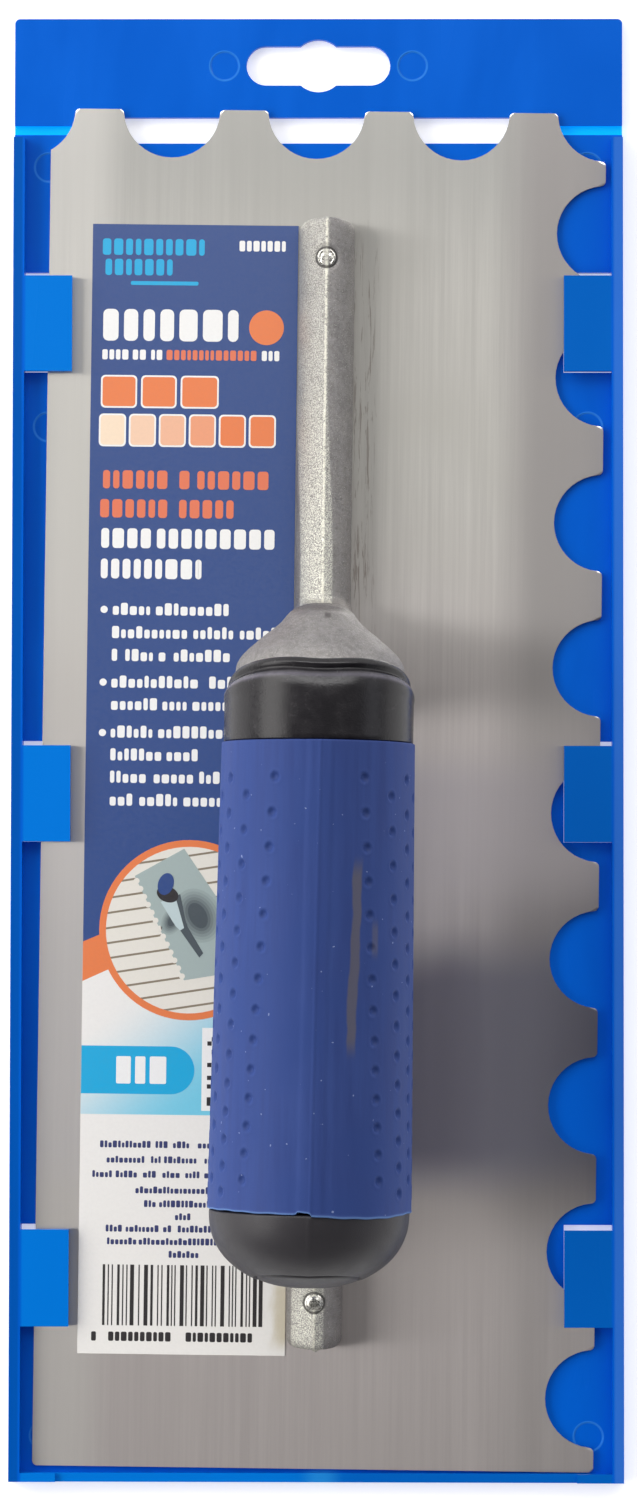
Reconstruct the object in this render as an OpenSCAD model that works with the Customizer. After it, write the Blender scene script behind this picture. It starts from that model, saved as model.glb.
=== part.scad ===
// Notched trowel with round notches, lying in its slide-on blade guard.
//
// Millimetres. +Z is up, towards the handle. +Y points to the short notched edge and +X to the long
// notched edge. The origin is the centre of the guard's footprint, on its underside.
// The trowel itself is drawn about the centre of its blade, with z = 0 on the upper face of the sheet.

/* [Blade] */
// Length of the steel sheet, along the handle
blade_length = 280; // [270:1:280]
// Width of the steel sheet
blade_width = 115; // [110:1:115]
// Thickness of the steel sheet
blade_thickness = 0.8; // [0.6:0.1:1]
// Radius of the round notches
notch_radius = 10; // [6:0.5:11]
// Distance between notch centres
notch_pitch = 30; // [26:1:36]
// From the short notched end to the first whole notch on the long edge
long_edge_first_notch = 25; // [22:1:30]
// From the plain long edge to the first notch centre on the short edge
short_edge_first_notch = -5; // [-6:1:-2]
// Rounding where a notch meets the edge
tooth_corner_radius = 1; // [0.5:0.25:2]

/* [Shank casting] */
// Length of the bar on the blade
bar_length = 232; // [220:1:240]
// Width of the bar
bar_width = 11.5; // [10:0.5:13]
// Radius of the bar's two arched flanks
bar_flank_radius = 8.2; // [7.5:0.1:9]
// Height of the flank arcs' centres above the blade
bar_flank_centre = 0.9; // [0.5:0.1:1.2]
// Middle of the bar along the blade
bar_middle = 0.9; // [-2:0.1:2]
// Rounding of the bar's ends, seen from above
bar_end_radius = 4.5; // [3:0.5:5]
// Height of the grip's centreline above the blade
grip_height = 56; // [52:1:60]
// Radius of the flared bolster in front of the grip
bolster_radius = 17; // [15:0.5:17]
// Length of the bolster's cone, from its rim to its narrow end
bolster_length = 9; // [7:0.5:9.5]
// Radius of the tang inside the grip
tang_radius = 5.5; // [4:0.5:6.5]

/* [Rivets] */
// Radius of a rivet's shaft
rivet_radius = 1.6; // [1.2:0.1:1.8]
// Radius of the flush head in the working face
rivet_head_radius = 3.2; // [2.6:0.1:3.4]
// Radius of the closed end on the bar
rivet_button_radius = 1.9; // [1.7:0.1:2]

/* [Grip] */
// Front of the grip, along the blade
grip_front = 22.5; // [20:0.5:24]
// Front end of the soft sleeve
sleeve_front = 6.5; // [4:0.5:8]
// Rear end of the soft sleeve
sleeve_rear = -84; // [-86:0.5:-80]
// Rear end of the grip
grip_rear = -99; // [-101:0.5:-98]
// Radius of the flanks at the front of the sleeve
sleeve_front_radius = 20.1; // [19.8:0.1:21]
// Radius of the flanks at the rear of the sleeve
sleeve_rear_radius = 21.1; // [20.8:0.1:22]
// How far each flank's centre sits past the middle, which leaves a ridge along the top
flank_offset = 1.3; // [0.5:0.1:1.8]
// Radius of the hard core under the sleeve
core_radius = 15; // [13:0.5:16]
// How far the sleeve stands proud of the hard ends
sleeve_step = 0.35; // [0.1:0.05:0.5]
// Width of a grip dimple
dimple_width = 2.4; // [1.6:0.1:2.8]
// Depth of a grip dimple
dimple_depth = 0.45; // [0.2:0.05:0.6]

/* [Label] */
// Width of the printed label
label_width = 42.6; // [30:0.2:42.6]
// Length of the printed label
label_length = 233; // [150:1:240]
// Thickness of the printed label
label_thickness = 0.15; // [0.1:0.05:0.2]

/* [Blade guard] */
// Length of the guard, with its hanging header
guard_length = 302; // [302:1:306]
// Width of the guard
guard_width = 126; // [126:1:130]
// Height of the guard's side walls
guard_height = 4.5; // [4.5:0.1:6]
// Thickness of the guard's floor
guard_floor = 1.5; // [1.2:0.1:1.5]
// Thickness of the side walls
guard_wall = 2.3; // [2:0.1:2.4]
// Thickness of the wall at the closed end
guard_end_wall = 1.8; // [1.2:0.1:1.8]
// Width of the floor ledge on all four sides
guard_ledge = 16.2; // [14:0.2:18]
// Height of the header above the opening below it
header_length = 20.6; // [18:0.2:20.6]
// How far the guard is turned on the blade, in degrees
guard_turn = 0.6; // [0:0.1:0.6]
// Middle of the blade as it lies in the guard, sideways
blade_x = 0.8; // [0.5:0.1:1]
// Middle of the blade as it lies in the guard, lengthwise
blade_y = -8.4; // [-8.4:0.1:-8.2]

/* [Hidden] */
// Clearance between parts that are fixed to each other
fixed_gap = 0.05;
// Clearance between the blade and the guard's floor
floor_gap = 0.1;
blade_top = guard_floor + floor_gap + blade_thickness;
notch_count_long = floor((blade_length - long_edge_first_notch - notch_radius) / notch_pitch) + 1;
notch_count_short = floor((blade_width - short_edge_first_notch + 0.5) / notch_pitch) + 1;
// The bar's arched section: two flank arcs that meet in a ridge along the top
bar_arc_offset = bar_flank_radius - bar_width / 2;
neck_corner = 4.5;
bolster_rim = 1;
bolster_tip_radius = 6.4;
bar_front = bar_middle + bar_length / 2;
bar_rear = bar_middle - bar_length / 2;
// Rivets: one in front of the neck, one behind the grip, two under the grip
rivet_front = bar_front - 8.5;
rivet_rear = bar_rear + 9.6;
rivet_pitch = 53.5;
rivet_places = [rivet_front, rivet_rear + 2 * rivet_pitch, rivet_rear + rivet_pitch, rivet_rear];
rivet_seat_height = 7.9;
rivet_bevel = 0.7;
// Grip ends
collar_radius = sleeve_front_radius - sleeve_step;
cap_radius = sleeve_rear_radius - sleeve_step;
collar_corner = 5;
lip_radius = 2.2;
lip_ring_radius = 16.2;
cap_corner = 8;
cap_crown = 28;
end_recess_radius = 9.7;
end_recess_depth = 0.8;
// Dimple rows, as angles round one flank from the top, at the front and at the rear of the sleeve
dimple_rows_front = [29.5, 50, 67, 80];
dimple_rows_rear = [44.5, 61.5, 75, 87];
dimples_per_row = 14;
dimple_first = 7.2;
dimple_pitch_front = 6.9;
dimple_pitch_rear = 5.2;
// Label
label_gap = 0.2;
label_middle = -0.5;
// Guard details
clip_places = [87.2, -10, -109.4];
clip_length = 19.8;
clip_reach = 9.9;
clip_thickness = 1.6;
clip_window_extra = 1;
opening_width = 90;
opening_length = 5.4;
groove_width = 1.9;
groove_depth = 0.9;
wall_overrun = 0.9;
corner_return = 9.6;
end_wall_height = 3.6;
slot_length = 29.8;
slot_width = 8.2;
slot_ring_radius = 5.5;
slot_from_top = 9.8;
ejector_radius = 3;
ejector_depth = 0.15;
ejector_inset = 7.2;
window_corner = 3;

steel_color = [0.72, 0.71, 0.69];
cast_color = [0.62, 0.61, 0.6];
rivet_color = [0.8, 0.8, 0.78];
black_color = [0.13, 0.13, 0.14];
sleeve_color = [0.16, 0.23, 0.5];
label_color = [0.13, 0.24, 0.5];
guard_color = [0.0, 0.35, 0.8];

// The sub-part to draw, or "all"

// ---------- shared shapes ----------

// Puts the trowel's own frame, on the blade's upper face, where the blade lies in the guard.
module on_blade() {
    translate([blade_x, blade_y, blade_top])
        children();
}

// Turns a shape drawn along Z so that it runs along the blade, towards +Y.
module along_blade() {
    rotate([-90, 0, 0])
        children();
}

module rounded_rectangle(width, length, corner) {
    square([width - 2 * corner, length], center = true);
    square([width, length - 2 * corner], center = true);
    for (x = [-1, 1])
        for (y = [-1, 1])
            translate([x * (width / 2 - corner), y * (length / 2 - corner)])
                circle(r = corner, $fn = 48);
}

// ---------- blade ----------

// One round notch cut from an edge that runs along x, with the teeth's corners rounded on both sides.
module notch() {
    circle(r = notch_radius, $fn = 96);
    round_centre = sqrt(pow(notch_radius + tooth_corner_radius, 2) - pow(tooth_corner_radius, 2));
    contact = notch_radius / (notch_radius + tooth_corner_radius);
    for (side = [-1, 1])
        difference() {
            polygon([
                [side * round_centre * contact, -tooth_corner_radius * contact],
                [side * round_centre, 0],
                [side * round_centre, 1],
                [side * (notch_radius - 1), 1],
                [side * (notch_radius - 1), -tooth_corner_radius / 2]
            ]);
            translate([side * round_centre, -tooth_corner_radius])
                circle(r = tooth_corner_radius, $fn = 48);
        }
}

module short_edge_notches() {
    for (i = [0 : notch_count_short - 1])
        translate([short_edge_first_notch + i * notch_pitch - blade_width / 2, blade_length / 2])
            notch();
}

// The notch on the corner is cut again from this side, so that both edges meet it with rounded teeth.
module long_edge_notches() {
    translate([blade_width / 2, blade_length / 2])
        rotate(-90)
            notch();
    for (i = [0 : notch_count_long - 1])
        translate([blade_width / 2, blade_length / 2 - long_edge_first_notch - i * notch_pitch])
            rotate(-90)
                notch();
}

module blade() {
    color(steel_color)
        on_blade()
            difference() {
                translate([0, 0, -blade_thickness])
                    linear_extrude(blade_thickness)
                        difference() {
                            rounded_rectangle(blade_width, blade_length, tooth_corner_radius);
                            short_edge_notches();
                            long_edge_notches();
                        }
                for (y = rivet_places)
                    translate([0, y, 0]) {
                        translate([0, 0, -blade_thickness - 1])
                            cylinder(r = rivet_radius + fixed_gap, h = blade_thickness + 2, $fn = 48);
                        translate([0, 0, -blade_thickness])
                            cylinder(
                                r1 = rivet_head_radius + fixed_gap,
                                r2 = rivet_radius + fixed_gap,
                                h = rivet_bevel,
                                $fn = 48
                            );
                    }
            }
}

// ---------- shank ----------

module bar_flank(side) {
    translate([side * bar_arc_offset, bar_flank_centre])
        circle(r = bar_flank_radius, $fn = 96);
}

module bar_section() {
    intersection() {
        bar_flank(-1);
        bar_flank(1);
        translate([-bar_width, 0])
            square([2 * bar_width, 2 * bar_width]);
    }
}

// The long bar on the blade: arched in section and rounded at both ends.
module bar() {
    intersection() {
        translate([0, bar_front, 0])
            rotate([90, 0, 0])
                linear_extrude(bar_length)
                    bar_section();
        translate([0, bar_middle, -1])
            linear_extrude(4 * bar_width)
                rounded_rectangle(bar_width + fixed_gap, bar_length, bar_end_radius);
        translate([-bar_width, bar_middle, 0])
            rotate([90, 0, 90])
                linear_extrude(2 * bar_width)
                    rounded_rectangle(bar_length, 2 * (bar_flank_radius + bar_flank_centre), bar_end_radius);
    }
}

// A thin level slice of the neck, with rounded corners.
module neck_slice(height, half_width, back, front) {
    for (x = [neck_corner - half_width, half_width - neck_corner])
        for (y = [back + neck_corner, front - neck_corner])
            translate([x, y, height])
                cylinder(r = neck_corner, h = 0.4, $fn = 32);
}

// The neck rises from the bar, narrows, and turns back into the bolster in front of the grip.
module neck() {
    back = grip_front + 0.1;
    hull() {
        neck_slice(1, bar_width / 2 - 0.1, 8, 38);
        neck_slice(7, bar_width / 2 - 0.3, 14, 35.6);
    }
    hull() {
        neck_slice(7, bar_width / 2 - 0.3, 14, 35.6);
        neck_slice(17, bar_width / 2, 19, 34);
    }
    hull() {
        neck_slice(17, bar_width / 2, 19, 34);
        neck_slice(30, bar_width / 2 + 0.5, back, 33.4);
    }
    hull() {
        neck_slice(30, bar_width / 2 + 0.5, back, 33.4);
        translate([0, back, grip_height - 1])
            along_blade()
                cylinder(r = bolster_tip_radius, h = bolster_rim + bolster_length, $fn = 40);
    }
}

// The bolster is a cone that closes the front of the grip, and the tang runs back from it.
module bolster_and_tang() {
    translate([0, grip_front + 0.1, grip_height])
        along_blade() {
            cylinder(r = bolster_radius, h = bolster_rim, $fn = 96);
            translate([0, 0, bolster_rim])
                cylinder(r1 = bolster_radius, r2 = bolster_tip_radius, h = bolster_length, $fn = 96);
        }
    translate([0, grip_rear + end_recess_depth, grip_height])
        along_blade()
            cylinder(r = tang_radius, h = grip_front - grip_rear + 2, $fn = 64);
}

module shank() {
    color(cast_color)
        on_blade()
            difference() {
                union() {
                    bar();
                    neck();
                    bolster_and_tang();
                }
                for (y = rivet_places)
                    translate([0, y, 0]) {
                        translate([0, 0, -1])
                            cylinder(r = rivet_radius + fixed_gap, h = 12, $fn = 48);
                        translate([0, 0, rivet_seat_height])
                            cylinder(r = rivet_button_radius + fixed_gap, h = 5, $fn = 48);
                    }
            }
}

// ---------- rivets ----------

// Flush bevelled head in the working face, plain shaft, and a closed domed end sunk in the bar's ridge.
module rivet() {
    translate([0, 0, -blade_thickness])
        cylinder(r1 = rivet_head_radius, r2 = rivet_radius, h = rivet_bevel, $fn = 48);
    translate([0, 0, -blade_thickness])
        cylinder(r = rivet_radius, h = blade_thickness + rivet_seat_height + 0.4, $fn = 48);
    translate([0, 0, rivet_seat_height + fixed_gap])
        cylinder(r = rivet_button_radius, h = 0.35, $fn = 48);
    intersection() {
        translate([0, 0, rivet_seat_height + 0.4 - rivet_button_radius * 0.45])
            sphere(r = rivet_button_radius * 1.05, $fn = 48);
        translate([0, 0, rivet_seat_height + 0.3])
            cylinder(r = rivet_button_radius, h = 2, $fn = 48);
    }
}

module blade_rivets() {
    color(rivet_color)
        on_blade()
            for (y = rivet_places)
                translate([0, y, 0])
                    rivet();
}

// ---------- grip ----------

// Keeps the ridge along the top and bottom: what two copies, moved apart sideways, have in common.
module ridged() {
    intersection() {
        translate([flank_offset, 0, 0])
            children();
        translate([-flank_offset, 0, 0])
            children();
    }
}

// Outline of the front collar from the axis outwards: flat face, raised lip and rounded shoulder.
module collar_profile() {
    translate([0, sleeve_front])
        square([collar_radius, grip_front - 2 - collar_corner - sleeve_front]);
    translate([0, sleeve_front])
        square([collar_radius - collar_corner, grip_front - 2 - sleeve_front]);
    intersection() {
        translate([collar_radius - collar_corner, grip_front - 2 - collar_corner])
            circle(r = collar_corner, $fn = 64);
        translate([0, sleeve_front])
            square([collar_radius, grip_front - sleeve_front]);
    }
    translate([0, grip_front - lip_radius])
        square([lip_ring_radius, lip_radius]);
    translate([lip_ring_radius, grip_front - lip_radius])
        circle(r = lip_radius, $fn = 48);
}

// Outline of the rear cap from the axis outwards: straight, then a tight corner, then a shallow crown.
module cap_profile() {
    corner_x = cap_radius - cap_corner;
    crown_y = grip_rear + cap_crown;
    corner_y = crown_y - sqrt(pow(cap_crown - cap_corner, 2) - pow(corner_x, 2));
    stretch = cap_crown / (cap_crown - cap_corner);
    tangent = [corner_x * stretch, crown_y + (corner_y - crown_y) * stretch];
    translate([0, corner_y])
        square([cap_radius, sleeve_rear - corner_y]);
    translate([corner_x, corner_y])
        intersection() {
            circle(r = cap_corner, $fn = 64);
            translate([0, -cap_corner])
                square(cap_corner);
        }
    polygon([[0, sleeve_rear], [0, tangent[1]], tangent, [corner_x, corner_y], [corner_x, sleeve_rear]]);
    intersection() {
        translate([0, crown_y])
            circle(r = cap_crown, $fn = 128);
        translate([0, grip_rear])
            square([tangent[0], tangent[1] - grip_rear + 0.01]);
    }
}

module handle_core() {
    color(black_color)
        on_blade()
            translate([0, 0, grip_height])
                difference() {
                    union() {
                        ridged()
                            along_blade()
                                rotate_extrude($fn = 128)
                                    collar_profile();
                        ridged()
                            along_blade()
                                rotate_extrude($fn = 128)
                                    cap_profile();
                        translate([0, sleeve_rear - 1, 0])
                            along_blade()
                                cylinder(r = core_radius, h = sleeve_front - sleeve_rear + 2, $fn = 96);
                    }
                    translate([0, grip_rear - 1, 0])
                        along_blade()
                            cylinder(r = tang_radius + fixed_gap, h = grip_front - grip_rear + 3, $fn = 64);
                    translate([0, grip_rear - 1, 0])
                        along_blade()
                            cylinder(r = end_recess_radius, h = end_recess_depth + 1, $fn = 64);
                }
}

// A round cutter at one dimple: `turn` is its angle round the flank, measured from the top.
module dimple(side, turn, y) {
    ball = (pow(dimple_width / 2, 2) + pow(dimple_depth, 2)) / (2 * dimple_depth);
    share = (sleeve_front - y) / (sleeve_front - sleeve_rear);
    flank = sleeve_front_radius + (sleeve_rear_radius - sleeve_front_radius) * share;
    reach = flank + ball - dimple_depth;
    translate([side * (reach * sin(turn) - flank_offset), y, reach * cos(turn)])
        sphere(r = ball, $fn = 32);
}

// Rows run the length of the sleeve, spread apart towards the rear and close up in pitch.
module dimples() {
    pitch_change = (dimple_pitch_rear - dimple_pitch_front) / (dimples_per_row - 2);
    for (side = [-1, 1])
        for (row = [0 : len(dimple_rows_front) - 1])
            for (i = [0 : dimples_per_row - 1]) {
                step = i + (row % 2) / 2;
                y = sleeve_front - dimple_first - step * dimple_pitch_front - pitch_change * step * (step - 1) / 2;
                share = (sleeve_front - y) / (sleeve_front - sleeve_rear);
                turn = dimple_rows_front[row] + (dimple_rows_rear[row] - dimple_rows_front[row]) * share;
                dimple(side, turn, y);
            }
}

module grip_sleeve() {
    color(sleeve_color)
        on_blade()
            translate([0, 0, grip_height])
                difference() {
                    ridged()
                        translate([0, sleeve_rear, 0])
                            along_blade()
                                cylinder(
                                    r1 = sleeve_rear_radius,
                                    r2 = sleeve_front_radius,
                                    h = sleeve_front - sleeve_rear,
                                    $fn = 128
                                );
                    translate([0, sleeve_rear - 1, 0])
                        along_blade()
                            cylinder(r = core_radius + fixed_gap, h = sleeve_front - sleeve_rear + 2, $fn = 96);
                    dimples();
                }
}

// ---------- label ----------

module product_label() {
    color(label_color)
        on_blade()
            translate([-bar_width / 2 - label_gap - label_width, label_middle - label_length / 2, 0])
                cube([label_width, label_length, label_thickness]);
}

// ---------- blade guard ----------

module hanging_slot() {
    rounded_rectangle(slot_length, slot_width, slot_width / 2 - 0.01);
    circle(r = slot_ring_radius, $fn = 64);
}

// Floor of the guard: a header with a hanging slot, then ledges round an open middle.
module guard_floor_outline() {
    opening_top = guard_length / 2 - header_length;
    opening_bottom = opening_top - opening_length;
    window_top = opening_bottom - guard_ledge;
    window_bottom = -guard_length / 2 + guard_ledge;
    difference() {
        rounded_rectangle(guard_width, guard_length, 1);
        translate([0, guard_length / 2 - slot_from_top])
            hanging_slot();
        translate([-opening_width / 2, opening_bottom])
            square([opening_width, opening_length]);
        translate([0, (window_top + window_bottom) / 2])
            rounded_rectangle(guard_width - 2 * guard_ledge, window_top - window_bottom, window_corner);
        for (side = [-1, 1])
            for (y = clip_places)
                translate([
                    side * (guard_width / 2 - guard_wall - clip_reach / 2) - clip_reach / 2,
                    y - clip_length / 2
                ])
                    square([clip_reach, clip_length + clip_window_extra]);
    }
}

// Side walls with their clips. A clip is an arm at the top of the wall that reaches in over the blade.
module guard_side(side) {
    opening_bottom = guard_length / 2 - header_length - opening_length;
    wall_length = opening_bottom + wall_overrun + guard_length / 2;
    wall_x = side * (guard_width / 2 - guard_wall / 2) - guard_wall / 2;
    translate([wall_x, -guard_length / 2, 0])
        cube([guard_wall, wall_length, guard_height]);
    for (y = clip_places)
        translate([
            side * (guard_width / 2 - (clip_reach + guard_wall) / 2) - (clip_reach + guard_wall) / 2,
            y - clip_length / 2,
            guard_height - clip_thickness
        ])
            cube([clip_reach + guard_wall, clip_length, clip_thickness]);
}

// The closed end: a low wall with a taller return at each corner.
module guard_end() {
    translate([-guard_width / 2, -guard_length / 2, 0])
        cube([guard_width, guard_end_wall, end_wall_height]);
    for (side = [-1, 1])
        translate([side * (guard_width - corner_return) / 2 - corner_return / 2, -guard_length / 2, 0])
            cube([corner_return, guard_end_wall, guard_height]);
}

module ejector_marks() {
    mark_x = guard_width / 2 - ejector_inset;
    for (place = [
        [19.5, guard_length / 2 - slot_from_top],
        [mark_x, 120],
        [mark_x, 66],
        [mark_x, -guard_length / 2 + ejector_inset + 2]
    ])
        for (side = [-1, 1])
            translate([side * place[0], place[1], guard_floor - ejector_depth])
                cylinder(r = ejector_radius, h = 1, $fn = 48);
}

// The thin line across the guard, level with the opening, where the header can flex.
module flex_groove() {
    groove_y = guard_length / 2 - header_length - opening_length / 2;
    translate([-guard_width / 2 - 1, groove_y - groove_width / 2, guard_floor - groove_depth])
        cube([guard_width + 2, groove_width, groove_depth + 1]);
}

module blade_guard() {
    color(guard_color)
        rotate(guard_turn)
            difference() {
                union() {
                    linear_extrude(guard_floor)
                        guard_floor_outline();
                    guard_side(-1);
                    guard_side(1);
                    guard_end();
                }
                ejector_marks();
                flex_groove();
            }
}

blade();
shank();
blade_rivets();
handle_core();
grip_sleeve();
product_label();
blade_guard();
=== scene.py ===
"""The looks of a notched trowel that lies in its blade guard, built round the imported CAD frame.

Shapes are written in millimetres in the trowel's own frame: the centre of the blade's upper face is the
origin, +Y points to the short notched edge, +X to the long notched edge and +Z up to the grip.
"""

import math

import bmesh
import bpy
import numpy as np
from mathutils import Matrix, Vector, noise


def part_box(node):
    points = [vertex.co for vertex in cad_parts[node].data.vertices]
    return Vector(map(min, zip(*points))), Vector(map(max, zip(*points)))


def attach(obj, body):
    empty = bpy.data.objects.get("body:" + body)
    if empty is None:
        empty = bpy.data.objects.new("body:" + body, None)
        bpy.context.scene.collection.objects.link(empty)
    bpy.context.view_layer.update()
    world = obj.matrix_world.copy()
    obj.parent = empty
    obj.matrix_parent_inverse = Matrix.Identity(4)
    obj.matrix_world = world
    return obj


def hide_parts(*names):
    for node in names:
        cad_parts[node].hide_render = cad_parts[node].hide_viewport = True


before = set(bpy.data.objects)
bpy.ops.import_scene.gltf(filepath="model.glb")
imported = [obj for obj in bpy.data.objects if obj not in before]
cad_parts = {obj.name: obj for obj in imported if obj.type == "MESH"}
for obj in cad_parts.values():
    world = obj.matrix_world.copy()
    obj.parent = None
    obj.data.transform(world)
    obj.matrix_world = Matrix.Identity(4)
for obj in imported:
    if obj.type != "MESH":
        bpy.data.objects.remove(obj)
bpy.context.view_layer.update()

MM = 0.001
BLADE_LOW, BLADE_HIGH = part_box("blade")
ORIGIN = Vector(((BLADE_LOW.x + BLADE_HIGH.x) / 2, (BLADE_LOW.y + BLADE_HIGH.y) / 2, BLADE_HIGH.z))


def trowel_box(node):
    """A CAD node's lowest and highest corners, in millimetres in the trowel's frame."""
    return [(Vector(corner) - ORIGIN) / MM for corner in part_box(node)]


# ---------- driving dimensions, in millimetres in the trowel's frame ----------

LABEL_LOW, LABEL_HIGH = trowel_box("product_label")
SLEEVE_LOW, SLEEVE_HIGH = trowel_box("grip_sleeve")
CORE_LOW, CORE_HIGH = trowel_box("handle_core")
GRIP_HEIGHT = (SLEEVE_LOW.z + SLEEVE_HIGH.z) / 2
GRIP_FRONT = CORE_HIGH.y
GRIP_REAR = CORE_LOW.y
SLEEVE_FRONT = SLEEVE_HIGH.y
SLEEVE_REAR = SLEEVE_LOW.y
# The grip's section is two flank arcs. Each one's centre lies beyond the middle, by the flank's offset
SLEEVE_FRONT_FLANK = 20.1
SLEEVE_REAR_FLANK = 21.1
FLANK_OFFSET = 1.3
# How far the sleeve stands proud of the core's two ends
SLEEVE_STEP = 0.35
CORE_RADIUS = 15.0
BORE_RADIUS = 5.55
# Rear end of the bore, and the floor of the pocket that the bell sits in
BLIND_END = -94.2
POCKET = GRIP_FRONT - 4.5
# The round plug line on the rear cap, and how far its centre lies above the grip's axis
PLUG_RADIUS = 10.1
PLUG_RISE = 3.6
TANG_RADIUS = 5.45
TANG_END = BLIND_END + 0.1
BAR_FRONT = 116.9
BAR_REAR = -115.1
BAR_WIDTH = 11.5
BAR_HEIGHT = 7.83
# Radius of the two arcs of the bar's section, which meet in its ridge
BAR_FLANK = 8.2
BLADE_THICKNESS = (BLADE_HIGH.z - BLADE_LOW.z) / MM
RIVET_PLACES = (108.4, 1.5, -52.0, -105.5)
RIVET_SEAT = 7.9
RIVET_RADIUS = 1.6
# Radius of a rivet's closed end, and of its bevelled head in the blade
RIVET_BUTTON = 1.9
RIVET_HEAD = 3.2
# The grip was moulded on a little askew: how far it drifts sideways per millimetre along the blade
GRIP_DRIFT = 0.0075
# Its parting line also stands a little to the right of the top, in degrees
GRIP_TWIST = 2.0

# The guard's dimensions are written from its own middle, which is the row frame's origin
GUARD_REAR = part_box("blade_guard")[0].y / MM
# How far the guard is turned under the blade
GUARD_TURN = math.radians(0.6)
# Where the side walls begin, across
WALL_FACE = 60.8
FLEX_LINE = 127.7
# Where the highlight is painted in the middle of the rear wall, across
REAR_HIGHLIGHT_PLACE = 1.0
EJECTOR_RADIUS = 3.0
# Distance from the guard's middle line and place along it of each pair of ejector marks
EJECTOR_MARKS = ((19.5, 141.2), (55.8, 120), (55.8, 66), (55.8, -141.8))


def to_frame(points):
    """Points in millimetres in the trowel's frame, as metres in the row frame."""
    return np.asarray(points, float) * MM + np.array(ORIGIN)


def full_turn(count):
    """Angles of a full turn in even steps, in radians."""
    return np.linspace(0, 2 * math.pi, count, endpoint=False)


def smooth_step(value, low, high):
    """Goes smoothly from 0 to 1 as a value goes from low to high."""
    share = np.clip((value - low) / (high - low), 0, 1)
    return share * share * (3 - 2 * share)


def bump(value, centre, width):
    """A smooth bump: 1 where a value is at the centre, near 0 at twice the width from it."""
    return np.exp(-(((value - centre) / width) ** 2))


# ---------- meshes ----------

def make_piece(name, points, faces, smooth=True):
    """A mesh object from points in the trowel's frame. A smooth one gets its faces turned outwards."""
    mesh = bpy.data.meshes.new(name)
    mesh.from_pydata(to_frame(points).tolist(), [], [list(map(int, face)) for face in faces])
    mesh.validate()
    mesh.update()
    if smooth:
        mesh.polygons.foreach_set("use_smooth", [True] * len(mesh.polygons))
        work = bmesh.new()
        work.from_mesh(mesh)
        bmesh.ops.recalc_face_normals(work, faces=work.faces)
        work.to_mesh(mesh)
        work.free()
    piece = bpy.data.objects.new(name, mesh)
    bpy.context.scene.collection.objects.link(piece)
    return piece


def ring_faces(rows, columns, closed_rows):
    """Quads of a grid of points whose columns close on themselves, and its rows too if asked."""
    last = rows if closed_rows else rows - 1
    row, column = np.meshgrid(np.arange(last), np.arange(columns), indexing="ij")
    next_row = (row + 1) % rows
    next_column = (column + 1) % columns
    corners = [(row, column), (next_row, column), (next_row, next_column), (row, next_column)]
    return np.stack([(r * columns + c).ravel() for r, c in corners], axis=1)


def tube_faces(rows, columns):
    """Quads of a tube of rings, and a cap on each end."""
    last = (rows - 1) * columns
    caps = [list(range(columns)), list(range(last, last + columns))]
    return ring_faces(rows, columns, False).tolist() + caps


def stack_rings(rings):
    """One closed volume from rings of the same number of points."""
    points = np.concatenate([np.asarray(ring, float) for ring in rings])
    return points, tube_faces(len(rings), len(rings[0]))


def join_volumes(volumes):
    """Several closed volumes as the points and faces of one mesh."""
    points, faces, start = [], [], 0
    for volume_points, volume_faces in volumes:
        points.append(volume_points)
        faces += [[start + index for index in face] for face in volume_faces]
        start += len(volume_points)
    return np.concatenate(points), faces


def points_of(piece):
    """A piece's points, as millimetres in the trowel's frame."""
    return (np.array([v.co for v in piece.data.vertices]) - np.array(ORIGIN)) / MM


def mark_points(piece, name, values):
    """Stores a value for each point of a piece, for its material to read."""
    layer = piece.data.attributes.new(name, "FLOAT", "POINT")
    layer.data.foreach_set("value", values.astype(np.float32).ravel())


def apply_modifiers(piece):
    """Replaces a piece's mesh with what its modifiers make of it."""
    graph = bpy.context.evaluated_depsgraph_get()
    graph.update()
    made = bpy.data.meshes.new_from_object(piece.evaluated_get(graph))
    piece.modifiers.clear()
    piece.data = made


def finish_piece(piece, node, look):
    """Puts a piece in the place of one of the trowel's CAD nodes and its material."""
    piece.data.materials.clear()
    piece.data.materials.append(look)
    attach(piece, "trowel")
    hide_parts(node)


def dress_node(node, edge, look):
    """Gives a CAD node its material, and rounds the sharp edges that it shows by a small bevel."""
    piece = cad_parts[node]
    piece.data.materials.clear()
    piece.data.materials.append(look)
    weld = piece.modifiers.new("weld", "WELD")
    weld.merge_threshold = 0.002 * MM
    bevel = piece.modifiers.new("soft_edges", "BEVEL")
    bevel.width = edge * MM
    bevel.segments = 2
    bevel.limit_method = "ANGLE"
    bevel.angle_limit = math.radians(35)
    piece.data.polygons.foreach_set("use_smooth", [True] * len(piece.data.polygons))
    flat_faces = piece.modifiers.new("flat_faces", "WEIGHTED_NORMAL")
    flat_faces.mode = "FACE_AREA"
    flat_faces.weight = 100


# ---------- shader nodes ----------

def srgb(red, green, blue):
    """A colour given as 0 to 255, as linear values with full alpha."""
    def linear(value):
        share = value / 255
        return share / 12.92 if share <= 0.04045 else ((share + 0.055) / 1.055) ** 2.4
    return (linear(red), linear(green), linear(blue), 1.0)


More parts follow.
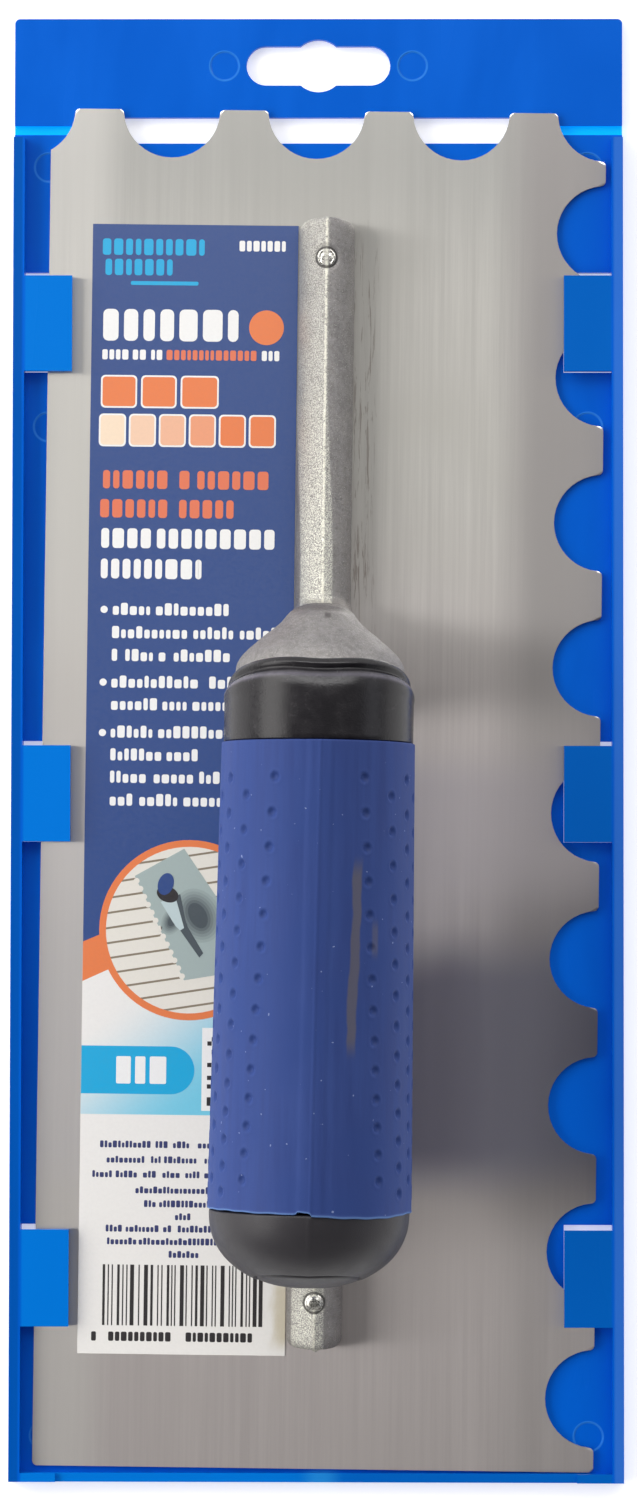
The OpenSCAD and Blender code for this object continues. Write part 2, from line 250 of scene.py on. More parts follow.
class Nodes:
    """A node tree under construction. Every value is a node's output or a plain number."""

    def __init__(self, tree):
        self.tree = tree

    def add(self, kind, **settings):
        node = self.tree.nodes.new(kind)
        for name, value in settings.items():
            setattr(node, name, value)
        return node

    def feed(self, socket, value):
        """Links a node's output to a socket, or sets the socket to a plain value."""
        if isinstance(value, bpy.types.NodeSocket):
            self.tree.links.new(value, socket)
        else:
            socket.default_value = value

    def math(self, operation, first, second=0.0, clamp=False):
        node = self.add("ShaderNodeMath", operation=operation, use_clamp=clamp)
        self.feed(node.inputs[0], first)
        self.feed(node.inputs[1], second)
        return node.outputs[0]

    def plus(self, first, second, clamp=False):
        return self.math("ADD", first, second, clamp)

    def times(self, first, *others, clamp=False):
        for other in others:
            first = self.math("MULTIPLY", first, other, clamp)
        return first

    def distance(self, x, y, at_x, at_y):
        """Distance in the plane from a point."""
        across = self.plus(x, -at_x)
        along = self.plus(y, -at_y)
        return self.math("SQRT", self.plus(self.times(across, across), self.times(along, along)))

    def axes(self, vector):
        node = self.add("ShaderNodeSeparateXYZ")
        self.feed(node.inputs[0], vector)
        return node.outputs[0], node.outputs[1], node.outputs[2]

    def step(self, value, low, high, start=0.0, end=1.0):
        """Goes smoothly from start to end as value goes from low to high."""
        node = self.add("ShaderNodeMapRange", interpolation_type="SMOOTHSTEP")
        self.feed(node.inputs["Value"], value)
        self.feed(node.inputs["From Min"], low)
        self.feed(node.inputs["From Max"], high)
        node.inputs["To Min"].default_value = start
        node.inputs["To Max"].default_value = end
        return node.outputs[0]

    def band(self, value, low, high, soft):
        """1 between low and high, falling to 0 over a soft width outside."""
        return self.times(self.step(value, low - soft, low), self.step(value, high, high + soft, 1.0, 0.0))

    def mix(self, factor, first, second):
        node = self.add("ShaderNodeMix", data_type="RGBA")
        self.feed(node.inputs["Factor"], factor)
        self.feed(node.inputs[6], first)
        self.feed(node.inputs[7], second)
        return node.outputs[2]


class Look(Nodes):
    """A material under construction. Its base colour is painted in layers."""

    def __init__(self, name, turn=0.0):
        self.material = bpy.data.materials.new(name)
        self.material.use_nodes = True
        super().__init__(self.material.node_tree)
        self.surface = self.tree.nodes["Principled BSDF"]
        self.point = self.place(turn)
        self.base = None

    def place(self, turn):
        """The shaded point in millimetres, in the trowel's frame, or in the row frame turned about z."""
        mapping = self.add("ShaderNodeMapping", vector_type="POINT")
        self.feed(mapping.inputs["Vector"], self.add("ShaderNodeTexCoord").outputs["Object"])
        mapping.inputs["Scale"].default_value = (1 / MM,) * 3
        mapping.inputs["Rotation"].default_value = (0, 0, turn)
        if not turn:
            mapping.inputs["Location"].default_value = [-c / MM for c in ORIGIN]
        return mapping.outputs[0]

    def attribute(self, name, output="Fac"):
        """A value that was stored on the mesh's points."""
        return self.add("ShaderNodeAttribute", attribute_name=name).outputs[output]

    def cloud(self, scale, detail=2.0, roughness=0.5, warp=0.0):
        """Noise of 0 to 1. The scale is in waves per millimetre, one number or one for each axis."""
        node = self.add("ShaderNodeTexNoise")
        vector = self.point
        if isinstance(scale, tuple):
            stretched = self.add("ShaderNodeVectorMath", operation="MULTIPLY")
            self.feed(stretched.inputs[0], self.point)
            stretched.inputs[1].default_value = scale
            vector, scale = stretched.outputs[0], 1.0
        self.feed(node.inputs["Vector"], vector)
        node.inputs["Scale"].default_value = scale
        node.inputs["Detail"].default_value = detail
        node.inputs["Roughness"].default_value = roughness
        node.inputs["Distortion"].default_value = warp
        return node.outputs["Fac"]

    def paint(self, colour, *masks):
        """Lays a colour over the base colour, by the product of its masks."""
        self.base = self.mix(self.times(*masks), self.base, colour)

    def set(self, **inputs):
        """Sets inputs of the surface shader. An underscore in a name stands for a space."""
        for name, value in inputs.items():
            self.feed(self.surface.inputs[name.replace("_", " ")], value)

    def finish(self, roughness, relief, depth, **inputs):
        """The material, with its colour, its roughness and a relief of a depth in millimetres."""
        node = self.add("ShaderNodeBump")
        node.inputs["Strength"].default_value = 1.0
        node.inputs["Distance"].default_value = depth * MM
        self.feed(node.inputs["Height"], relief)
        self.set(Base_Color=self.base, Roughness=roughness, Normal=node.outputs[0], **inputs)
        return self.material


# ---------- materials ----------

def brushed_steel():
    """Stainless sheet brushed along its length: a sideways sheen, smudges, dirt by the bar, painted light
    and shade.
    """
    look = Look("brushed_steel")
    x, y, z = look.axes(look.point)
    fine = look.cloud((9.0, 0.06, 1.0), 3.0, 0.7)
    broad = look.cloud((0.9, 0.012, 1.0), 3.0, 0.65)
    cloud = look.cloud((0.02, 0.012, 1.0), 2.0, 0.5, 0.6)
    streak = look.cloud((1.3, 0.07, 1.0), 4.0, 0.7, 1.2)
    line = look.plus(look.times(fine, 0.35), look.times(broad, 0.65))
    look.base = look.mix(look.step(line, 0.3, 0.7), srgb(197, 195, 191), srgb(216, 214, 209))
    look.paint(srgb(201, 199, 193), look.step(cloud, 0.35, 0.7))
    look.paint(srgb(206, 194, 197), look.step(y, 70, 0, 0.0, 0.5))
    # Dirt in streaks along the bar's right foot
    beside_bar = look.times(look.band(x, 6.6, 9.0, 2.6), look.band(y, 34, 108, 14))
    look.paint(srgb(112, 92, 80), beside_bar, look.step(streak, 0.54, 0.64), 0.5)
    # Painted shade on the teeth at the front, a painted highlight along the left margin and painted shade
    # along the right one
    look.paint(srgb(178, 178, 175), look.step(y, 98, 134, 0.0, 0.75))
    look.paint(srgb(220, 218, 214), look.step(x, -40, -50, 0.0, 0.6))
    look.paint(srgb(170, 166, 165), look.step(x, 33, 45), look.step(y, -10, 40, 0.4, 0.95))
    # Painted shade to the right of the grip, standing in for the reflections of the grip and the black
    # card: a faint one by the collar and a wavy darker one behind it
    look.paint(srgb(184, 178, 180), look.step(x, 10.0, 18.0), look.band(y, -14, -2, 15), 0.7)
    wavy = look.plus(y, look.times(look.plus(cloud, -0.5), 16.0))
    reflection_shade = look.mix(look.step(x, 44.0, 24.0), srgb(168, 166, 176), srgb(134, 131, 142))
    look.paint(reflection_shade, look.step(x, 2.0, 18.0), look.band(wavy, -73, -40, 13))
    tangent = look.add("ShaderNodeCombineXYZ")
    tangent.inputs[0].default_value = 1.0
    look.set(Tangent=tangent.outputs[0], Metallic=1.0, Anisotropic=1.0)
    return look.finish(look.step(line, 0.2, 0.8, 0.33, 0.38), line, 0.003)


def cast_aluminium():
    """Rough grey casting: painted sparkle on the bar's lit left face, painted shade in the crease and
    grooves, a dark gate scar.
    """
    look = Look("cast_aluminium")
    x, y, z = look.axes(look.point)
    grain = look.cloud(2.6, 4.0, 0.75)
    fleck = look.cloud(4.2, 2.0, 0.8)
    cloud = look.cloud(0.25)
    mottle = look.cloud(1.0, 3.0, 0.7)
    on_bar = look.step(z, 12.0, 10.0)
    look.base = look.mix(look.step(cloud, 0.3, 0.7), srgb(128, 125, 124), srgb(141, 138, 136))
    look.paint(srgb(196, 196, 186), look.step(fleck, 0.60, 0.70))
    look.paint(srgb(92, 89, 87), look.step(grain, 0.42, 0.33))
    look.paint(srgb(104, 101, 102), look.step(z, 16.0, 30.0, 0.0, 0.25))
    look.paint(srgb(154, 152, 152), look.step(mottle, 0.40, 0.62, 0.0, 0.4))
    # Painted shade in the crease where the neck's front turns into the bell
    look.paint(srgb(70, 66, 66), look.step(y, 31.8, 33.0), look.step(z, 30.0, 40.0), 0.5)
    # Painted highlight: sparkle on the bar's lit left face, which reaches past the ridge near the neck, and
    # a bright line on the ridge itself
    off_ridge = look.math("SUBTRACT", x, look.step(y, 85, 45, 0.0, 1.4))
    lit_left_face = look.times(look.band(off_ridge, -5.8, 0.3, 0.5), on_bar)
    sparkle = look.times(look.step(fleck, 0.44, 0.56), look.step(y, 100, 45, 0.35, 0.75))
    look.paint(srgb(238, 238, 224), lit_left_face, sparkle)
    ridge = look.band(x, -0.12, 0.18, 0.22)
    look.paint(srgb(246, 244, 228), ridge, on_bar, look.step(mottle, 0.34, 0.5), 0.5)
    # Painted shade in the grooves round the rivets
    groove = 0.0
    for place in RIVET_PLACES:
        away = look.distance(x, y, 0.0, place)
        groove = look.plus(look.band(away, RIVET_BUTTON - 0.05, RIVET_BUTTON + 0.3, 0.2), groove)
    groove = look.times(groove, look.step(z, 12.0, 11.0), clamp=True)
    look.paint(srgb(52, 50, 50), groove, 0.8)
    # The gate's scar on top of the bell
    scar = look.times(look.band(x, 1.3, 2.0, 0.5), look.band(y, 30.9, 31.4, 0.6), look.step(z, 54.0, 56.0))
    look.paint(srgb(50, 44, 44), scar, 0.6)
    # The face with the painted highlight is a little less metallic
    look.set(Metallic=look.step(lit_left_face, 0.0, 1.0, 0.85, 0.65))
    return look.finish(look.step(fleck, 0.45, 0.7, 0.52, 0.3), grain, 0.22)


def rivet_metal():
    """Plain aluminium, polished by the riveting tool."""
    look = Look("rivet_metal")
    mark = look.cloud(3.0, 3.0, 0.7)
    look.base = look.mix(look.step(mark, 0.4, 0.6), srgb(150, 148, 143), srgb(200, 199, 192))
    return look.finish(look.step(mark, 0.3, 0.7, 0.2, 0.34), mark, 0.03, Metallic=1.0)


def black_plastic():
    """Hard satin black with a fine moulded grain, dust, a duller cap and a painted highlight behind the
    lip.
    """
    look = Look("black_plastic")
    x, y, z = look.axes(look.point)
    grain = look.cloud(3.2, 2.0, 0.6)
    dust = look.cloud(0.35, 4.0, 0.65)
    on_cap = look.step(y, SLEEVE_FRONT, SLEEVE_REAR)
    look.base = look.mix(look.step(dust, 0.35, 0.75), srgb(23, 21, 26), srgb(35, 33, 37))
    look.paint(srgb(44, 42, 47), on_cap)
    # Painted highlight on the collar's shoulder behind the lip
    look.paint(srgb(122, 118, 132), look.attribute("painted_lip_highlight"), look.step(dust, 0.25, 0.55, 0.4, 0.65))
    roughness = look.plus(look.step(dust, 0.3, 0.8, 0.21, 0.3), look.times(on_cap, 0.2))
    return look.finish(roughness, grain, 0.035, Specular_IOR_Level=look.step(on_cap, 0.0, 1.0, 0.3, 0.36))


def soft_grip():
    """Matte blue soft plastic with faint moulding streaks, a grey stain, specks and a pale rim behind."""
    look = Look("soft_grip")
    x, y, z = look.axes(look.point)
    streak = look.cloud((0.5, 0.03, 0.5), 3.0, 0.6)
    grain = look.cloud(2.2, 2.0, 0.6)
    look.base = look.mix(look.step(streak, 0.3, 0.7), srgb(46, 65, 125), srgb(52, 73, 135))
    look.paint(srgb(46, 68, 130), look.step(look.cloud(0.06), 0.35, 0.7))
    # The stain: a long streak with a wandering edge, and a spot beside it
    wander = look.times(look.plus(look.cloud(0.12), -0.5), 1.4)
    edge = look.plus(look.plus(x, look.times(y, -0.035)), wander)
    streaked = look.times(look.band(edge, 8.2, 9.5, 0.5), look.band(y, -50, -20, 5))
    spot = look.times(look.band(x, 11.2, 11.8, 0.5), look.band(y, -33, -30, 3), 0.6)
    on_top = look.step(z, GRIP_HEIGHT + 6, GRIP_HEIGHT + 12)
    look.paint(srgb(96, 92, 96), look.plus(streaked, spot, clamp=True), on_top, 0.75)
    look.paint(srgb(104, 140, 196), look.attribute("flash"), 0.8)
    look.paint(srgb(150, 165, 205), look.step(look.cloud(1.1, 1.0), 0.775, 0.80), 0.6)
    return look.finish(look.step(streak, 0.3, 0.7, 0.5, 0.6), grain, 0.018, Specular_IOR_Level=0.13)


def printed_label():
    """Glossy printed paper. The print's colour is painted on the mesh; dirt has gathered beside the bar."""
    look = Look("printed_label")
    x, y, z = look.axes(look.point)
    paper = look.cloud(1.6, 3.0, 0.6)
    edge = look.cloud((0.6, 0.25, 1.0), 3.0, 0.6)
    look.base = look.attribute("ink", "Color")
    look.paint(srgb(120, 120, 130), look.step(paper, 0.2, 0.9, 0.0, 0.05))
    beside_bar = look.step(look.plus(x, look.times(edge, 3.0)), -8.6, -5.2)
    look.paint(srgb(186, 170, 120), beside_bar, look.band(y, -113, -104, 4), 0.55)
    return look.finish(look.step(paper, 0.2, 0.8, 0.34, 0.46), paper, 0.006)


def guard_plastic():
    """Blue polypropylene with ejector marks: painted glow on the flex line, painted light and shade on
    clips, walls, rear wall and mark rims.
    """
    look = Look("guard_plastic", turn=-GUARD_TURN)
    x, y, z = look.axes(look.point)
    beside = look.math("ABSOLUTE", x)
    flow = look.cloud((0.05, 0.015, 0.2), 3.0, 0.6, 0.5)
    look.base = look.mix(look.step(flow, 0.3, 0.7), srgb(0, 92, 206), srgb(0, 99, 216))
    # The flex line beside the opening, painted bright and glowing, as painted light for light through the
    # thin plastic
    flex = look.band(y, FLEX_LINE - 1.15, FLEX_LINE + 1.15, 0.3)
    flex = look.times(flex, look.step(beside, 44.0, 46.0), look.step(z, 1.3, 1.0))
    look.paint(srgb(0, 176, 250), flex)
    # The clips in painted light and shade, lighter on the left than the right, then a painted highlight on
    # the top of the right wall and painted shade on the top of the left wall
    raised = look.step(z, 2.8, 3.0)
    clip_light_and_shade = look.mix(look.step(x, -10.0, 10.0), srgb(0, 124, 222), srgb(0, 98, 190))
    look.paint(clip_light_and_shade, raised, look.step(beside, WALL_FACE, WALL_FACE - 0.6), 0.8)
    look.paint(srgb(96, 150, 220), look.step(x, WALL_FACE, WALL_FACE + 0.6), look.step(z, 3.2, 4.2), 0.25)
    look.paint(srgb(0, 80, 165), look.step(x, -WALL_FACE, -WALL_FACE - 0.6), raised, 0.7)
    # A painted highlight on a pale patch in the middle of the rear wall, and painted highlights on the rims
    # of the ejector marks
    from_rear_highlight = look.math("ABSOLUTE", look.plus(x, -REAR_HIGHLIGHT_PLACE))
    at_rear = look.step(y, GUARD_REAR + 3.5, GUARD_REAR + 2.5)
    look.paint(srgb(60, 176, 240), look.step(from_rear_highlight, 5.0, 0.5), at_rear, 0.32)
    rim_highlights = 0.0
    for mark_x, mark_y in EJECTOR_MARKS:
        away = look.distance(beside, y, mark_x, mark_y)
        rim_highlights = look.plus(look.band(away, EJECTOR_RADIUS - 0.1, EJECTOR_RADIUS + 0.1, 0.25), rim_highlights)
    look.paint(srgb(70, 160, 240), look.times(rim_highlights, look.step(z, 1.9, 1.7), clamp=True), 0.4)
    # The flex line's painted glow
    look.set(Emission_Color=srgb(0, 170, 255), Emission_Strength=look.times(flex, 0.38))
    return look.finish(look.step(flow, 0.3, 0.7, 0.22, 0.28), flow, 0.02, Specular_IOR_Level=0.06)


# ---------- shank ----------

def lean_with_grip(points):
    """Moves what is inside or round the grip sideways, as the grip lies a little askew."""
    moved = points.copy()
    share = smooth_step(points[:, 2], GRIP_HEIGHT - 30, GRIP_HEIGHT - 16)
    moved[:, 0] += share * GRIP_DRIFT * points[:, 1]
    return moved


def relax(piece, weights, rounds):
    """Smooths a mesh where its weights say, as a casting's fillets do."""
    group = piece.vertex_groups.new(name="fillets")
    for level in range(1, 11):
        chosen = np.nonzero(np.round(weights * 10) == level)[0]
        if len(chosen):
            group.add(chosen.tolist(), level / 10, "REPLACE")
    modifier = piece.modifiers.new("fillets", "SMOOTH")
    modifier.factor = 0.5
    modifier.iterations = rounds
    modifier.vertex_group = group.name
    apply_modifiers(piece)
    piece.vertex_groups.clear()


def soften_line(line, rounds=3):
    """Cuts the corners of an open line of points until it is a smooth curve."""
    line = np.asarray(line, float)
    for _ in range(rounds):
        near = line[:-1] * 0.75 + line[1:] * 0.25
        far = line[:-1] * 0.25 + line[1:] * 0.75
        line = np.concatenate([line[:1], np.stack([near, far], 1).reshape(-1, 2), line[-1:]])
    return line


def arched_outline(half_width, height, foot):
    """The bar's section as (across, up): two flank arcs that meet in a ridge, on straight sides."""
    offset = BAR_FLANK - BAR_WIDTH / 2
    ridge = math.asin(offset / BAR_FLANK)
    turns = np.linspace(math.pi / 2, ridge, 14)
    across = (BAR_FLANK * np.sin(turns) - offset) / (BAR_WIDTH / 2) * half_width
    up = BAR_FLANK * np.cos(turns) / (BAR_FLANK * math.cos(ridge)) * height
    right = list(zip(across, up))
    left = [(-a, u) for a, u in right[-2::-1]]
    return [(half_width, foot)] + right + left + [(-half_width, foot)]


def arched_bar(rear, front, half_width, height, base, foot, plan_corner, top_corner):
    """A bar of arched section along the blade, with rounded ends."""
    inset = np.concatenate([np.linspace(0, 1, 9) ** 2 * plan_corner, [plan_corner + 1.5]])
    stations = np.concatenate([rear + inset, np.linspace(rear, front, 60)[3:-3], front - inset[::-1]])
    rings = []
    for station in sorted(set(np.round(stations, 3))):
        gap = min(station - rear, front - station)
        narrow = plan_corner - math.sqrt(max(plan_corner ** 2 - max(plan_corner - gap, 0) ** 2, 0))
        low = top_corner - math.sqrt(max(top_corner ** 2 - max(top_corner - gap, 0) ** 2, 0))
        outline = arched_outline(half_width - narrow, height - low, foot)
        rings.append([(across, station, base + up) for across, up in outline])
    return stack_rings(rings)


def turned(profile, count=72):
    """A volume turned about the grip's axis, from (along, radius) pairs."""
    return stack_rings([
        [(radius * math.sin(t), along, GRIP_HEIGHT + radius * math.cos(t)) for t in full_turn(count)]
        for along, radius in profile
    ])


def fuller(wave, power):
    """A sine or cosine raised to a power, with its sign kept."""
    return np.copysign(np.abs(wave) ** power, wave)


def neck():
    """The neck: level rings that spread where they meet the bar and, less, where they meet the bell."""
    # Height, rear, front and half width of each ring
    levels = [
        (0.6, 4, 43, 6.7),
        (4, 9, 40, 6.6),
        (8, 13, 38.0, 6.4),
        (14, 17, 36.0, 5.9),
        (22, 19.5, 34.6, 5.35),
        (30, 21, 33.9, 5.6),
        (40, 22, 34.0, 6.3),
        (50, 22.5, 34.4, 7.4),
        (56, 23, 33.6, 7.7),
        (60, 24, 31.4, 6.8),
    ]
    turns = full_turn(48)
    rings = []
    for height, rear, front, half_width in levels:
        # A power under 1 fills an oval's corners; the rings are rounder near the bell
        power = 0.62 + 0.2 * smooth_step(height, 30, 50)
        across = half_width * fuller(np.cos(turns), power)
        along = (rear + front) / 2 + (front - rear) / 2 * fuller(np.sin(turns), power)
        rings.append([(a, b, height) for a, b in zip(across, along)])
    return stack_rings(rings)


def bell():
    """The bolster: a bell that closes the grip's front and narrows to the neck."""
    curve = soften_line([
        (POCKET, 15.7), (19.4, 16.7), (21.9, 16.3), (24.2, 14.6), (26.6, 11.8), (28.6, 9.4), (30.2, 7.4),
        (31.2, 6.4), (32.0, 5.2), (32.2, 2.5),
    ])
    return turned([(POCKET, 0.01)] + curve.tolist() + [(32.2, 0.01)])


def roughen(found, depth, size):
    """Moves points a little at random but smoothly, as a sand casting's skin is uneven."""
    moved = found.copy()
    for index, point in enumerate(found):
        moved[index] += depth * np.array(noise.noise_vector(Vector(point) / size))
    return moved


def flash_nub():
    """A small nub of flash that stands out of the bar's rear end."""
    points, faces = turned([(0, 0.01), (0, 0.5), (2.0, 0.9), (2.0, 0.01)], 16)
    return points + np.array([0.4, BAR_REAR - 0.7, 4.5 - GRIP_HEIGHT]), faces


def cast_in_one_skin(piece):
    """Merges a piece's volumes into one skin, and softens it: a little all over, most round the neck."""
    remesh = piece.modifiers.new("cast_skin", "REMESH")
    remesh.mode = "VOXEL"
    remesh.voxel_size = 0.45 * MM
    remesh.use_smooth_shade = True
    apply_modifiers(piece)
    up, along = points_of(piece)[:, 2], points_of(piece)[:, 1]
    fillets = smooth_step(along, 0, 10) * smooth_step(-along, -50, -40) * smooth_step(up, 6.0, 13.0)
    relax(piece, 0.12 + 0.88 * fillets, 26)


def mark_bar(found):
    """Raises a parting line along the bar's ridge and sinks a groove round each rivet."""
    across, along, up = found.T
    on_ridge = bump(across, 0.0, 0.5) * smooth_step(up, 6.0, 8.0) * (1 - smooth_step(up, 9.5, 11))
    found[:, 2] += 0.1 * on_ridge
    for place in RIVET_PLACES:
        away = np.hypot(across, along - place)
        seat = bump(away, RIVET_BUTTON + 0.3, 0.35) * smooth_step(up, 6.0, 7.0)
        found[:, 2] -= 0.35 * seat * (up < 12)


def shank():
    """The casting: bar, neck, bell, tang and a nub of flash in one rough skin."""
    bar = arched_bar(BAR_REAR, BAR_FRONT, BAR_WIDTH / 2, BAR_HEIGHT, 0.9, -0.9, 2.4, 1.2)
    root = POCKET + 2
    tang = turned([(TANG_END, 0.01), (TANG_END, TANG_RADIUS), (root, TANG_RADIUS), (root, 0.01)])
    piece = make_piece("shank_casting", *join_volumes([bar, neck(), bell(), tang, flash_nub()]))
    cast_in_one_skin(piece)
    found = points_of(piece)
    mark_bar(found)
    found = roughen(roughen(found, 0.05, 0.9), 0.08, 3.5)
    placed = to_frame(lean_with_grip(found))
    piece.data.vertices.foreach_set("co", placed.astype(np.float32).ravel())
    piece.data.update()
    finish_piece(piece, "shank", cast_aluminium())


# ---------- rivets ----------

def rivets():
    """Four rivets in one piece: a flush bevelled head, a shaft and a closed end sunk in the bar's ridge."""
    button = RIVET_SEAT + 0.05
    foot = -BLADE_THICKNESS
    # Outlines as (radius, height)
    profile = [
        (RIVET_HEAD - 0.1, foot), (RIVET_HEAD, foot + 0.05), (RIVET_RADIUS, foot + 0.72),
        (RIVET_RADIUS, button), (RIVET_BUTTON - 0.05, button), (RIVET_BUTTON, button + 0.08),
        (RIVET_BUTTON, button + 0.30), (RIVET_BUTTON - 0.12, button + 0.46),
    ]
    dome = [(1.6 * math.cos(a), button + 0.38 + 0.75 * math.sin(a)) for a in np.linspace(0.1, 1.45, 10)]
    flat = [(1.42, button + 0.50), (1.30, button + 0.34), (1.18, button + 0.50), (0.9, button + 0.60)]
    volumes = []
    for place in RIVET_PLACES:
        top = dome if place == min(RIVET_PLACES) else flat
        volumes.append(stack_rings([
            [(radius * math.cos(a), place + radius * math.sin(a), height) for a in full_turn(48)]
            for radius, height in profile + top
        ]))
    piece = make_piece("rivets", *join_volumes(volumes))
    finish_piece(piece, "blade_rivets", rivet_metal())


# ---------- grip ----------

def section_radius(flank, angle):
    """Radius at an angle from the top, for a section of two flank arcs that meet in a ridge."""
    lean = FLANK_OFFSET * np.cos(angle)
    return np.sqrt(np.maximum(flank ** 2 - lean ** 2, 0)) - FLANK_OFFSET * np.abs(np.sin(angle))


def round_grip(radius, angle, along):
    """Points at a radius and an angle from the grip's top, at a place along the blade."""
    turned_angle = angle + np.radians(GRIP_TWIST + 0.012 * along)
    across = radius * np.sin(turned_angle) + GRIP_DRIFT * along
    up = GRIP_HEIGHT + radius * np.cos(turned_angle)
    return np.stack([across, along, up], -1).reshape(-1, 3)


def core_outline():
    """The hard core's outline (radius, along): a blind bore, the lip, collar, tube and closed cap."""
    collar = SLEEVE_FRONT_FLANK - SLEEVE_STEP
    cap = SLEEVE_REAR_FLANK - SLEEVE_STEP
    front = GRIP_FRONT
    outline = [(0.02, BLIND_END), (BORE_RADIUS, BLIND_END), (BORE_RADIUS, POCKET)]
    # The pocket's wall, the rounded lip and the collar's rise behind it
    outline += soften_line([
        (15.9, POCKET), (15.9, front - 0.5), (16.5, front), (17.4, front), (18.0, front - 0.8),
        (18.1, front - 1.6), (18.7, front - 2.6), (19.3, front - 4.0), (collar, front - 5.9),
        (collar, front - 9.5),
    ], 4).tolist()
    outline += [(collar, a) for a in np.linspace(front - 9.8, SLEEVE_FRONT + 0.35, 8)]
    outline += [(collar - 0.1, SLEEVE_FRONT + 0.12), (collar - 0.35, SLEEVE_FRONT + 0.02)]
    # The tube under the sleeve
    outline += [(CORE_RADIUS, SLEEVE_FRONT + 0.02), (CORE_RADIUS, SLEEVE_REAR - 0.02)]
    # The cap, an oval a little fuller than a true one
    outline += [(cap - 0.3, SLEEVE_REAR - 0.02), (cap - 0.05, SLEEVE_REAR - 0.15)]
    cap_front = SLEEVE_REAR - 0.4
    cap_length = cap_front - (GRIP_REAR - 1.1)
    fullness = 2 / 2.25
    for turn in np.linspace(0, math.pi / 2 - 0.01, 150):
        behind = cap_length * math.sin(turn) ** fullness
        outline.append((cap * math.cos(turn) ** fullness, cap_front - behind))
    return np.array(outline + [(0.02, outline[-1][1])])


def handle_core():
    """Hard black core: a collar with a raised lip, a tube under the sleeve and a rounded cap behind."""
    outline = core_outline()
    columns = 256
    angle = full_turn(columns)[None, :]
    flank = outline[:, 0][:, None]
    along = np.repeat(outline[:, 1][:, None], columns, axis=1)
    sides = np.abs(np.sin(angle))
    # Rough distance round the surface from the top
    near_top = np.minimum(angle, 2 * math.pi - angle) * 20
    outside = smooth_step(flank, CORE_RADIUS + 0.5, CORE_RADIUS + 2) + 0.0 * along
    at_lip = smooth_step(flank, 12, 15)
    # The section is ridged outside, round in the bore and nearly round at the lip
    ridged = np.where(along < SLEEVE_REAR, smooth_step(flank, 2, CORE_RADIUS), outside)
    radius = flank * (1 - ridged) + section_radius(np.maximum(flank, 2), angle) * ridged
    rounder = smooth_step(along, GRIP_FRONT - 7, GRIP_FRONT - 1.5) * at_lip
    radius = radius + (FLANK_OFFSET - 0.25) * rounder * ridged * sides
    # A valley behind the lip, a line on its rear slope that marks a painted highlight, and the collar's
    # parting seam
    valley = bump(along, GRIP_FRONT - 2.1, 0.6) * (1 - 0.6 * smooth_step(sides, 0.85, 1.0))
    painted_lip_highlight = bump(along, GRIP_FRONT - 3.3, 0.45) * outside * (0.6 + 0.4 * sides)
    seam = bump(near_top, 0.0, 0.22) * outside * (along < SLEEVE_REAR - 0.5)
    radius = radius - 0.6 * valley * outside + 0.1 * seam
    # The lip sweeps back at the sides, a little unevenly, and dips at the top
    swept = smooth_step(along, GRIP_FRONT - 12, GRIP_FRONT - 1.5) * at_lip
    wave = -4.3 * (1 - np.sqrt(1.02 - sides ** 4)) + 0.06 * np.sin(5 * angle + 2.0)
    along = along + swept * (wave - 0.5 * bump(near_top, 0.0, 6.0))
    # The rear cap's round plug, a little sunk inside a groove
    from_plug = np.hypot(radius * np.sin(angle), radius * np.cos(angle) - PLUG_RISE)
    inside_plug = 1 - smooth_step(from_plug, PLUG_RADIUS - 0.3, PLUG_RADIUS)
    sunk = 0.2 * inside_plug + 0.9 * bump(from_plug, PLUG_RADIUS, 0.33)
    along = along + sunk * (along < SLEEVE_REAR - 6)
    points = round_grip(radius, angle, along)
    piece = make_piece("handle_core_black", points, tube_faces(len(outline), columns))
    mark_points(piece, "painted_lip_highlight", painted_lip_highlight)
    finish_piece(piece, "handle_core", black_plastic())


def dimple_places():
    """Each dimple's angle from the top and place along the blade: four rows a side."""
    # Each row's turn from the top in degrees, at the sleeve's front and at its rear
    rows_front = (27.8, 47, 63.7, 77)
    rows_rear = (44, 61.5, 75, 87)
    per_row = 14
    first, pitch_front, pitch_rear = 7.2, 6.8, 5.05
    change = (pitch_rear - pitch_front) / (per_row - 2)
    places = []
    for side in (-1, 1):
        for row, (turn_front, turn_rear) in enumerate(zip(rows_front, rows_rear)):
            for index in range(per_row):
                count = index + (row % 2) / 2
                along = SLEEVE_FRONT - first - count * pitch_front - change * count * (count - 1) / 2
                share = (SLEEVE_FRONT - along) / (SLEEVE_FRONT - SLEEVE_REAR)
                flank = SLEEVE_FRONT_FLANK + (SLEEVE_REAR_FLANK - SLEEVE_FRONT_FLANK) * share
                turn = math.radians(turn_front + (turn_rear - turn_front) * share)
                angle = math.atan2(flank * math.sin(turn) - FLANK_OFFSET, flank * math.cos(turn))
                places.append((side * angle, along))
    return places


